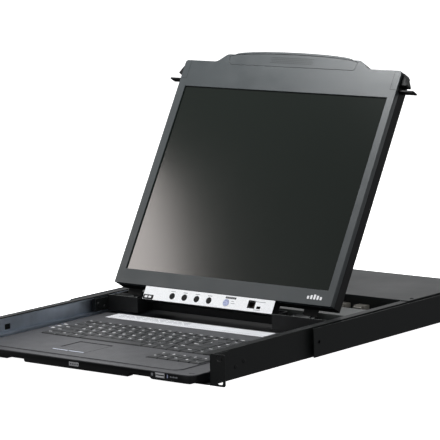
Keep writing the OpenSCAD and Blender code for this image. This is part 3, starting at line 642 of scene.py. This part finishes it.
def keycap(shape, low, high):
    """A key with sloping sides, round edges and a shallow dish in its top."""
    top_low, top_high = low + KEY_TOP_INSET * FRONT_SLOPE, high - KEY_TOP_INSET
    loft(shape, [
        rounded_ring(low, high, KEY_CORNER, low.z),
        rounded_ring(low, high, KEY_CORNER, low.z + KEY_SKIRT),
        rounded_ring(low + KEY_TOP_INSET * FRONT_SHOULDER, high - KEY_TOP_INSET * BACK_SHOULDER, KEY_CORNER,
                     high.z - KEY_SHOULDER),
        rounded_ring(top_low, top_high, KEY_CORNER, high.z - KEY_EDGE),
        rounded_ring(top_low + KEY_RIM, top_high - KEY_RIM, KEY_CORNER, high.z),
        rounded_ring(top_low + KEY_DISH_INSET, top_high - KEY_DISH_INSET, KEY_CORNER, high.z - KEY_DISH),
    ])


def in_rows(boxes):
    """Boxes sorted into rows from the front to the back, each from left to right."""
    rows = []
    for box in sorted(boxes, key=lambda b: round((b[0].y + b[1].y) / 2, 4)):
        middle = (box[0].y + box[1].y) / 2
        if rows and abs(middle - rows[-1][0]) < SAME_ROW:
            rows[-1][1].append(box)
        else:
            rows.append((middle, [box]))
    return [sorted(row, key=lambda b: b[0].x) for _, row in rows]


def legend_place(low, high, mark):
    """The middle of a legend, near the back left corner of its key."""
    from_left = LETTER_FROM_LEFT if len(mark) == 1 else WORD_FROM_LEFT + WORD_FROM_LEFT_EACH * len(mark)
    from_back = DEEP_LEGEND_FROM_BACK if high.y - low.y > DEEP_KEY else LEGEND_FROM_BACK
    return Vector((low.x + min(from_left, (high.x - low.x) / 2), high.y - from_back, high.z + LEGEND_LIFT))


def make_keys():
    words = sorted({word for rows in KEY_ROWS.values() for row in rows for word in row if word})
    glyphs = text_mesh([w for w in words if len(w) == 1], LETTER_SIZE, LETTER_WEIGHT)
    glyphs.update(text_mesh([w for w in words if len(w) > 1], WORD_SIZE, WORD_WEIGHT))
    for node, legends in KEY_ROWS.items():
        caps, print_shape = bmesh.new(), bmesh.new()
        for row, marks in zip(in_rows(solids(node)), legends):
            for (low, high), mark in zip(row, marks):
                keycap(caps, low, high)
                if mark:
                    add_glyph(print_shape, glyphs[mark], Matrix.Translation(legend_place(low, high, mark)))
        cap_object = new_object(node + "_caps", mesh_from(node + "_caps", caps, 32), BODY_OF[node],
                                [FINISH["key_plastic"]])
        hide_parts(node)
        if len(print_shape.verts):
            thicken(print_shape, LEGEND_DEPTH)
            new_object(node + "_legends", mesh_from(node + "_legends", print_shape), BODY_OF[node],
                       [INK_WHITE])
        else:
            print_shape.free()


make_keys()

# ----------------------------------------------------------------- screw heads

HEAD_SIDES = 24
HEAD_PROFILE = ((1.0, 0.0), (1.0, 0.45), (0.93, 0.78), (0.76, 0.97), (0.62, 1.0))   # of radius, of height
CROSS_ARM, CROSS_WAIST = 0.52, 0.195        # of the radius
CROSS_FLOOR, CROSS_TAPER = 0.35, 0.7        # of the height, of the cross at the top
ARM_COSINE = 0.96
THICKEST_WASHER = 2.2 * MM
ROUND_WITHIN = 0.3 * MM
INSIDE_CHASSIS = Vector((0, 100, -20)) * MM
ABOVE_KEYBOARD = Vector((0, 100, 50)) * MM


def screw_head(shape, base, axis, radius, height):
    """A domed head with a cross recess, its outer face along the axis."""
    place = Matrix.Translation(base) @ axis.to_track_quat("Z", "Y").to_matrix().to_4x4()
    ways = [Vector((math.cos(math.tau * k / HEAD_SIDES), math.sin(math.tau * k / HEAD_SIDES), 0))
            for k in range(HEAD_SIDES)]

    def ring(shares, level):
        up = Vector((0, 0, height * level))
        return [place @ (way * radius * share + up) for way, share in zip(ways, shares)]

    cross = [CROSS_ARM if max(abs(way.x), abs(way.y)) > ARM_COSINE else CROSS_WAIST for way in ways]
    rings = [ring([share] * HEAD_SIDES, level) for share, level in HEAD_PROFILE]
    rings.append(ring(cross, 1.0))
    rings.append(ring([share * CROSS_TAPER for share in cross], CROSS_FLOOR))
    loft(shape, rings)


def dress_screws(node, inside):
    """Replaces the round solids of a fastener node with screw heads that look away from a point."""
    shape = bmesh.new()
    for low, high in solids(node):
        size, middle = high - low, (low + high) / 2
        along = min(range(3), key=lambda i: size[i])
        others = [size[i] for i in range(3) if i != along]
        if size[along] > THICKEST_WASHER or abs(others[0] - others[1]) > ROUND_WITHIN:
            along = max(range(3), key=lambda i: size[i])
        axis = Vector((0, 0, 0))
        axis[along] = 1 if middle[along] >= inside[along] else -1
        radius = min(size[i] for i in range(3) if i != along) / 2
        screw_head(shape, middle - axis * size[along] / 2, axis, radius, size[along])
    made = new_object(node + "_heads", mesh_from(node + "_heads", shape, 40), BODY_OF[node],
                      [FINISH[SLOT_OF[node]]])
    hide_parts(node)


dress_screws("chassis_screws", INSIDE_CHASSIS)
dress_screws("keyboard_screws", ABOVE_KEYBOARD)

# --------------------------------------------------------------------- monitor
# From here on, blocks are (x0, y0, x1, y1, lower level, upper level) in mm

HOLE_PITCH, HOLE_ROW_PITCH, HOLE_RADIUS = 3.9, 2.7, 0.85
FIRST_HOLE_X, FIRST_HOLE_Y = -39, 370.2
HOLE_LEVELS = (-0.32, -0.27)
CAP_INNER, CAP_OUTER = 189.6, 200.6
CAP_SEAM_UP = (-0.25, 337.4, 0.25, 366.6, -0.3, 0.02)
CAP_SEAM_LOW, CAP_SEAM_HIGH = 336.9, 337.5
PLAQUE_LEFT, PLAQUE_LOW = 156, 8
PLAQUE_BAR, PLAQUE_PITCH, PLAQUE_TALLEST, PLAQUE_FALL = 3.6, 5.6, 7.6, 1.4
STRIP_LOW = -21
END_BLOCK = (0.4, 0.4, 19.5, 7.6, -1.0, 0.55)
END_MARK, END_MARK_PITCH = (3.5, 2.6, 8.8, 5.6, 0.54, 0.6), 7.2
MENU_CAPTION = (-4, 6.8, 4, 7.7, 0, 0.06)
POWER_CAPTIONS = ((9, 2.6, 14, 3.3, 0, 0.06), (9, -0.6, 16, 0.1, 0, 0.06))
SWITCH_CAPTIONS = ((-8, 8.4, 12, 9.2, 0, 0.06), (-6, -4.2, 6, -3.5, 0, 0.06))
DARK_LABEL = (-3, 6.4, 16.5, 9.4, 0, 0.08)
DARK_MARK, DARK_MARK_PITCH = (-1.4, 7.4, 0.9, 8.4, 0.08, 0.12), 3.4
SERVICE_CONTACT, SERVICE_PITCH = (-3.9, -3, -3.4, 2.6, -7.2, -6.8), 1.3


def dress_handle():
    """The perforated field of the handle insert and the seams of the two corner caps."""
    holes = [(FIRST_HOLE_X + HOLE_PITCH * (column + 0.5 * (row % 2)), FIRST_HOLE_Y + HOLE_ROW_PITCH * row)
             for row in range(4) for column in range(20)]
    discs("handle_perforation", "monitor", SHADOW, holes, HOLE_RADIUS, HOLE_LEVELS, FACE)
    seams = []
    for side in (-1, 1):
        left, right = sorted((side * CAP_INNER, side * CAP_OUTER))
        seams += [moved(side * CAP_INNER, 0, CAP_SEAM_UP),
                  (left, CAP_SEAM_LOW, right, CAP_SEAM_HIGH) + CAP_SEAM_UP[4:]]
    plates("corner_seams", "monitor", SHADOW, seams, FACE, 0.1)


def dress_bezel():
    """Five plain bars in the lower right corner of the bezel."""
    bars = []
    for index in range(5):
        left, height = PLAQUE_LEFT + PLAQUE_PITCH * index, PLAQUE_TALLEST - PLAQUE_FALL * abs(index - 2)
        bars.append(moved(left, PLAQUE_LOW, (0, 0, PLAQUE_BAR, height, 0, 0.25)))
    plates("bezel_plaque", "monitor", INK_WHITE, bars, FACE, 0.9)


def dress_strip():
    """Captions, dark labels, the end block and the socket contacts of the button strip."""
    lens_at, switch_at = middle_on(FACE, "monitor_power_button"), middle_on(FACE, "mode_switch")
    corner = plan("control_housing")[0], STRIP_LOW
    captions = [moved(*middle_on(FACE, "menu_button_%d" % index), MENU_CAPTION) for index in range(1, 5)]
    captions += [moved(*lens_at, caption) for caption in POWER_CAPTIONS]
    captions += [moved(*switch_at, caption) for caption in SWITCH_CAPTIONS]
    plates("strip_captions", "monitor", INK_GREY, captions, FACE, 0.2)
    plates("strip_dark_label", "monitor", INK_BLACK,
           [moved(*lens_at, DARK_LABEL)], FACE, 0.3)
    plates("strip_dark_marks", "monitor", INK_GREY,
           row_of(5, DARK_MARK_PITCH, moved(*lens_at, DARK_MARK)), FACE, 0.2)
    plates("strip_end_block", "monitor", FINISH["black_plastic"],
           [moved(*corner, END_BLOCK)], FACE, 1.2)
    plates("strip_end_marks", "monitor", INK_WHITE,
           row_of(2, END_MARK_PITCH, moved(*corner, END_MARK)), FACE, 0.4)
    plates("service_contacts", "monitor", GOLD,
           row_of(6, SERVICE_PITCH, moved(*middle_on(FACE, "upgrade_port"), SERVICE_CONTACT)), FACE, 0.1)


dress_handle()
dress_bezel()
dress_strip()

# -------------------------------------------------------------------- keyboard

LABEL_MARGIN_X, LABEL_MARGIN_BACK = 14, 5.6
LINE_HEIGHT, LINE_PITCH, WORD_GAP = 1.8, 5.2, 3
SHORTEST_WORD, WORD_STEP = 7, 5
RULE_MARGIN_X, RULE_FROM_BACK, RULE_PITCH, RULE_HEIGHT = 4, 21.6, 4, 0.4
DECK_RIM = UNDERSIDE + 15 * MM
# white marks and faintly glowing blue discs on the left rim, set on bright spots
RIM_MARK_PITCH = 14
RIM_MARK = (-194, 140, -187, 144, 0, 0.05)
RIM_DISC_X, RIM_DISC_Y, RIM_DISC_RADIUS = -197.5, 142, 1.2
# where the painted highlight lies on each touchpad button, in mm
HIGHLIGHT_SIDE, HIGHLIGHT_FRONT, HIGHLIGHT_BACK = 0.8, 0.9, 4.2
PAD_GAP, PAD_LINE, PAD_BACK_LINE = 0.3, 0.9, 1.0
USB_TONGUE = (-5.8, -0.8, 5.8, 0.8, -8.6, -1.4)
USB_CONTACT, USB_CONTACT_PITCH = (-4.4, -0.75, -3.2, -0.5, -7.6, -2.2), 2.5
USB_INSULATORS = ((-6.6, -2.4, 6.6, -1.0, -3, 0.0), (-6.6, 1.1, 6.6, 2.4, -3, 0.0))
INDICATOR = (12.6, -2.4, 14.6, 2.4, -0.6, 0.2)
CAPTION_LEFT, CAPTION_PITCH, CAPTION_WIDTH = 18, 2.7, 1.9
CAPTION_TOP, CAPTION_SHORTER = 1.0, 0.4
USB_SYMBOL = (-15, -1.6, -11.4, 2.2, 0, 0.06)
BADGE = (-16, 5.4, 1.6, 11.2, -0.5, 0.35)
BADGE_BAR, BADGE_BAR_PITCH = (-13.5, 7.4, -11.6, 9.2, 0.34, 0.38), 4


def dress_label():
    """Plain lines instead of words on the label plate, most of them at its left end."""
    left, _, right, back = plan("label_plate")
    lines = []
    for row in range(3):
        start, top = left + LABEL_MARGIN_X, back - LABEL_MARGIN_BACK - LINE_PITCH * row
        for word in range(9):
            length = SHORTEST_WORD + WORD_STEP * ((word * 7 + row * 5) % 3)
            lines.append((start, top - LINE_HEIGHT, start + length, top, 0, 0.03))
            start += length + WORD_GAP
    plates("label_lines", "keyboard", INK_GREY, lines, top_of("label_plate"), 0.2)
    rules = []
    for row in range(2):
        top = back - RULE_FROM_BACK - RULE_PITCH * row
        rules.append((left + RULE_MARGIN_X, top - RULE_HEIGHT, right - RULE_MARGIN_X, top, 0, 0.02))
    plates("label_rules", "keyboard", INK_GREY, rules, top_of("label_plate"), 0.1)


def dress_deck():
    """White marks and faintly glowing blue discs on the left rim, painted highlights on the touchpad buttons, a
    painted shadow line round the pad.
    """
    rim = Matrix.Translation((0, 0, DECK_RIM))
    # white marks and faintly glowing blue discs on the left rim
    plates("rim_marks", "keyboard", INK_WHITE,
           [moved(0, RIM_MARK_PITCH * index, RIM_MARK) for index in range(3)], rim, 0.6)
    discs("rim_discs", "keyboard", FINISH["blue_lens"],
          [(RIM_DISC_X, RIM_DISC_Y + RIM_MARK_PITCH * index) for index in range(3)],
          RIM_DISC_RADIUS, (0, 0.35), rim)
    # a pale blue strip near the front of each button is a painted highlight
    for button in ("touchpad_button_left", "touchpad_button_right"):
        left, front, right, _ = plan(button)
        plates(button.replace("touchpad_button", "touch_highlight"), button, HIGHLIGHT_BLUE,
               [(left + HIGHLIGHT_SIDE, front + HIGHLIGHT_FRONT, right - HIGHLIGHT_SIDE, front + HIGHLIGHT_BACK, -0.3, 0.05)],
               top_of(button), 0.8)
    left, front, right, back = plan("touchpad")
    x0, y0, x1, y1 = left - PAD_GAP, front - PAD_GAP, right + PAD_GAP, back + PAD_GAP
    back_line = y1 + PAD_BACK_LINE
    plates("touchpad_line", "keyboard", SHADOW,
           [(x0 - PAD_LINE, y0, x0, back_line, 0, 0.05), (x1, y0, x1 + PAD_LINE, back_line, 0, 0.05),
            (x0, y1, x1, back_line, 0, 0.05)], top_of("keyboard_deck"), 0.2)


def dress_front_bar():
    """The socket's tongue, contacts and bands, the indicator, the captions and the plain badge."""
    usb_at = middle_on(ON_FASCIA, "usb_port")
    plates("usb_tongue", "keyboard", FINISH["black_plastic"],
           [moved(*usb_at, USB_TONGUE)], ON_FASCIA, 0.4)
    plates("usb_contacts", "keyboard", GOLD,
           row_of(4, USB_CONTACT_PITCH, moved(*usb_at, USB_CONTACT)), ON_FASCIA, 0.05)
    plates("usb_insulators", "keyboard", INK_WHITE,
           [moved(*usb_at, band) for band in USB_INSULATORS], ON_FASCIA, 0.3)
    plates("front_indicator", "keyboard", FINISH["blue_lens"],
           [moved(*usb_at, INDICATOR)], ON_FASCIA, 0.8)
    captions = []
    for index in range(5):
        left, top = CAPTION_LEFT + CAPTION_PITCH * index, CAPTION_TOP - CAPTION_SHORTER * (index % 2)
        captions.append((left, -CAPTION_TOP, left + CAPTION_WIDTH, top, 0, 0.06))
    plates("front_captions", "keyboard", INK_GREY,
           [moved(*usb_at, caption) for caption in captions + [USB_SYMBOL]], ON_FASCIA, 0.3)
    plates("front_badge", "keyboard", FINISH["bright_steel"], [BADGE], ON_FASCIA, 1.0)
    plates("front_badge_bars", "keyboard", INK_BLACK,
           row_of(4, BADGE_BAR_PITCH, BADGE_BAR), ON_FASCIA, 0.3)


dress_label()
dress_deck()
dress_front_bar()

# -------------------------------------------------------- carriage and chassis

RECESS_LEFT, RECESS_RIGHT = -145.4, 106.4
PORT_LEVEL = 20.0          # mm above the underside
PORT_TONGUE = (-7.4, -1.3, 7.4, 1.3, -6.6, 2.6)
PORT_CONTACT, PORT_CONTACT_PITCH = (-6.6, 1.25, -5.9, 1.45, -5.5, 2.2), 1.9
PORT_NUMBER_UP = 11.5
PORT_NUMBER_SIZE, PORT_NUMBER_WEIGHT, PORT_NUMBER_LIFT = 5 * MM, 0.05 * MM, 0.03 * MM
INLET_BLADES = ((-7.5, -2.8, -6.1, 1.4, -21, -4), (6.1, -2.8, 7.5, 1.4, -21, -4),
                (-0.7, 1.0, 0.7, 5.2, -21, -4))
ROCKER_MARK = (-6.2, -2.8, -5.5, 2.8, 4.0, 4.3)
LARGE_PLUG = 18 * MM
LEAD_RADIUS = 0.95 * MM
FIRST_LEAD, LEAD_PITCH = 4 * MM, 3.3 * MM
LEAD_ROUTE = ((0, 2.0, 0), (0, 1.4, -3), (0.6, 1.3, -8), (0.4, 1.6, -13), (-0.6, 4.0, -19))   # mm
LEAD_END_BACK, LEAD_END_UP = 12 * MM, 2.8 * MM


def dress_carriage():
    """A painted highlight along the top edge of the carriage front wall on both sides of its recess."""
    left, front, right, _ = plan("carriage_shell")
    front_line, back_line = front + 0.1, front + 1.1
    # a light grey strip stands for the highlight on the wall's top front edge
    plates("carriage_edge_highlight", "carriage", PAINTED_LIGHT_GREY,
           [(left + 0.2, front_line, RECESS_LEFT, back_line, -0.05, 0.08),
            (RECESS_RIGHT, front_line, right - 0.2, back_line, -0.05, 0.08)], top_of("carriage_shell"), 0.2)


def dress_rear_panel():
    """Tongues, contacts and numbers of the computer sockets, blades of the inlet, the rocker's mark."""
    ports = [-(low.x + high.x) / 2 / MM for low, high in solids("computer_ports")]
    plates("port_tongues", "chassis", FINISH["black_plastic"],
           [moved(x, PORT_LEVEL, PORT_TONGUE) for x in ports], ON_REAR, 0.5)
    contacts = [contact for x in ports
                for contact in row_of(8, PORT_CONTACT_PITCH, moved(x, PORT_LEVEL, PORT_CONTACT))]
    plates("port_contacts", "chassis", GOLD, contacts, ON_REAR, 0.05)
    numbers = bmesh.new()
    names = [str(index + 1) for index in range(len(ports))]
    glyphs = text_mesh(names, PORT_NUMBER_SIZE, PORT_NUMBER_WEIGHT)
    for name, x in zip(names, ports):
        place = Vector((x * MM, (PORT_LEVEL + PORT_NUMBER_UP) * MM, PORT_NUMBER_LIFT))
        add_glyph(numbers, glyphs[name], ON_REAR @ Matrix.Translation(place))
    thicken(numbers, PORT_NUMBER_LIFT)
    new_object("port_numbers", mesh_from("port_numbers", numbers), "chassis", [INK_WHITE])
    inlet_at = middle_on(ON_REAR, "power_inlet")
    plates("inlet_blades", "chassis", FINISH["bright_steel"],
           [moved(*inlet_at, blade) for blade in INLET_BLADES], ON_REAR, 0.4)
    plates("rocker_marks", "chassis", INK_WHITE,
           [moved(*middle_on(ON_REAR, "power_rocker"), ROCKER_MARK)], ON_REAR, 0.2)


def dress_harness():
    """Four leads from the front of each large plug down to the floor of the chassis."""
    for low, high in solids("harness_plugs"):
        if (high - low).y <= LARGE_PLUG:
            continue
        shape = bmesh.new()
        for index in range(4):
            start = Vector((low.x + FIRST_LEAD + LEAD_PITCH * index, low.y, (low.z + high.z) / 2))
            route = [start + Vector(step) * MM for step in LEAD_ROUTE]
            route.append(Vector((start.x, start.y + LEAD_END_BACK, UNDERSIDE + LEAD_END_UP)))
            tube(shape, route, LEAD_RADIUS)
        place = round(low.x / MM)
        name = "harness_leads_%d" % place
        material = (WIRE_GREY, WIRE_TAN, WIRE_BLACK)[place % 3]
        new_object(name, mesh_from(name, shape, 60), "chassis", [material])


dress_carriage()
dress_rear_panel()
dress_harness()

# ---------------------------------------------------------------------- studio

FLOOR_HALF = 30.0
FLOOR_GAP = 0.2 * MM
GLOW_TURN = math.radians(-40)
# Share of the way from straight down to straight up, and brightness
WORLD_SHADES = ((0.34, 0.10), (0.46, 0.36), (0.51, 0.85), (0.62, 0.75), (0.73, 0.22), (0.84, 0.20))


def softbox(name, place, target, width, height, radiance, colour=(1, 1, 1)):
    """A rectangular lamp that looks from one point to another; sizes and places are in m."""
    data = bpy.data.lights.new(name, "AREA")
    data.shape = "RECTANGLE"
    data.size, data.size_y = width, height
    data.energy = radiance * math.pi * width * height
    data.color = colour
    lamp = bpy.data.objects.new(name, data)
    bpy.context.scene.collection.objects.link(lamp)
    look = (Vector(target) - Vector(place)).to_track_quat("-Z", "Y").to_matrix().to_4x4()
    lamp.matrix_world = Matrix.Translation(Vector(place)) @ look
    return lamp


def make_floor():
    """A wide sheet of white paper that lights itself and stays out of reflections."""
    mesh = bpy.data.meshes.new("floor")
    z = cad_box[0].z - FLOOR_GAP
    corners = [(-FLOOR_HALF, -FLOOR_HALF, z), (FLOOR_HALF, -FLOOR_HALF, z),
               (FLOOR_HALF, FLOOR_HALF, z), (-FLOOR_HALF, FLOOR_HALF, z)]
    mesh.from_pydata(corners, [], [(0, 1, 2, 3)])
    tree = Tree("floor_paper", level=0.1, glow=1.0, glow_color=(1.0, 1.0, 1.0, 1.0))
    grain = tree.noise(scale=220, detail=3)
    paper = tree.blend(grain, (0.90, 0.90, 0.905, 1), (0.93, 0.93, 0.93, 1))
    mesh.materials.append(tree.finish(paper, 0.9))
    floor = bpy.data.objects.new("floor", mesh)
    bpy.context.scene.collection.objects.link(floor)
    floor.visible_glossy = False
    floor.visible_diffuse = False


def make_world():
    """A bright horizon under a dim ceiling, as in a white studio with the lights low."""
    world = bpy.data.worlds.new("studio")
    bpy.context.scene.world = world
    world.use_nodes = True
    nodes, links = world.node_tree.nodes, world.node_tree.links
    place = nodes.new("ShaderNodeTexCoord").outputs["Generated"]
    height = nodes.new("ShaderNodeSeparateXYZ")
    links.new(place, height.inputs[0])
    shades = nodes.new("ShaderNodeValToRGB")
    steps = shades.color_ramp.elements
    steps[0].position, steps[0].color = 0.0, (0.06, 0.06, 0.06, 1)
    steps[1].position, steps[1].color = 1.0, (0.70, 0.71, 0.73, 1)
    for position, value in WORLD_SHADES:
        step = steps.new(position)
        step.color = (value, value * 1.01, value * 1.03, 1)
    level = nodes.new("ShaderNodeMapRange")
    level.inputs["From Min"].default_value = -1
    links.new(height.outputs["Z"], level.inputs["Value"])
    links.new(level.outputs["Result"], shades.inputs["Fac"])
    links.new(shades.outputs["Color"], nodes["Background"].inputs["Color"])
    nodes["Background"].inputs["Strength"].default_value = 1.0


def make_lights():
    """A soft glow mirrored low on the screen, a bright light near the top and a weak one behind."""
    screen_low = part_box("lcd_screen")[0]
    glow = softbox("screen_glow", place=(-1.62, -0.84, 1.28), target=(screen_low.x, screen_low.y, 0.08),
                   width=0.50, height=0.26, radiance=10.0, colour=(1.0, 0.93, 0.90))
    glow.matrix_world = glow.matrix_world @ Matrix.Rotation(GLOW_TURN, 4, "Z")
    softbox("near_top", place=(-0.25, 0.165, 1.03), target=(0.05, 0.42, 0.25),
            width=0.30, height=0.15, radiance=66.0, colour=(0.98, 0.99, 1.0))
    softbox("rear_top", place=(-0.6, 1.9, 1.6), target=(0, 0.4, 0), width=1.4, height=0.8, radiance=3.0)


make_floor()
make_world()
make_lights()

bpy.context.scene.view_settings.view_transform = "Standard"
bpy.context.view_layer.update()
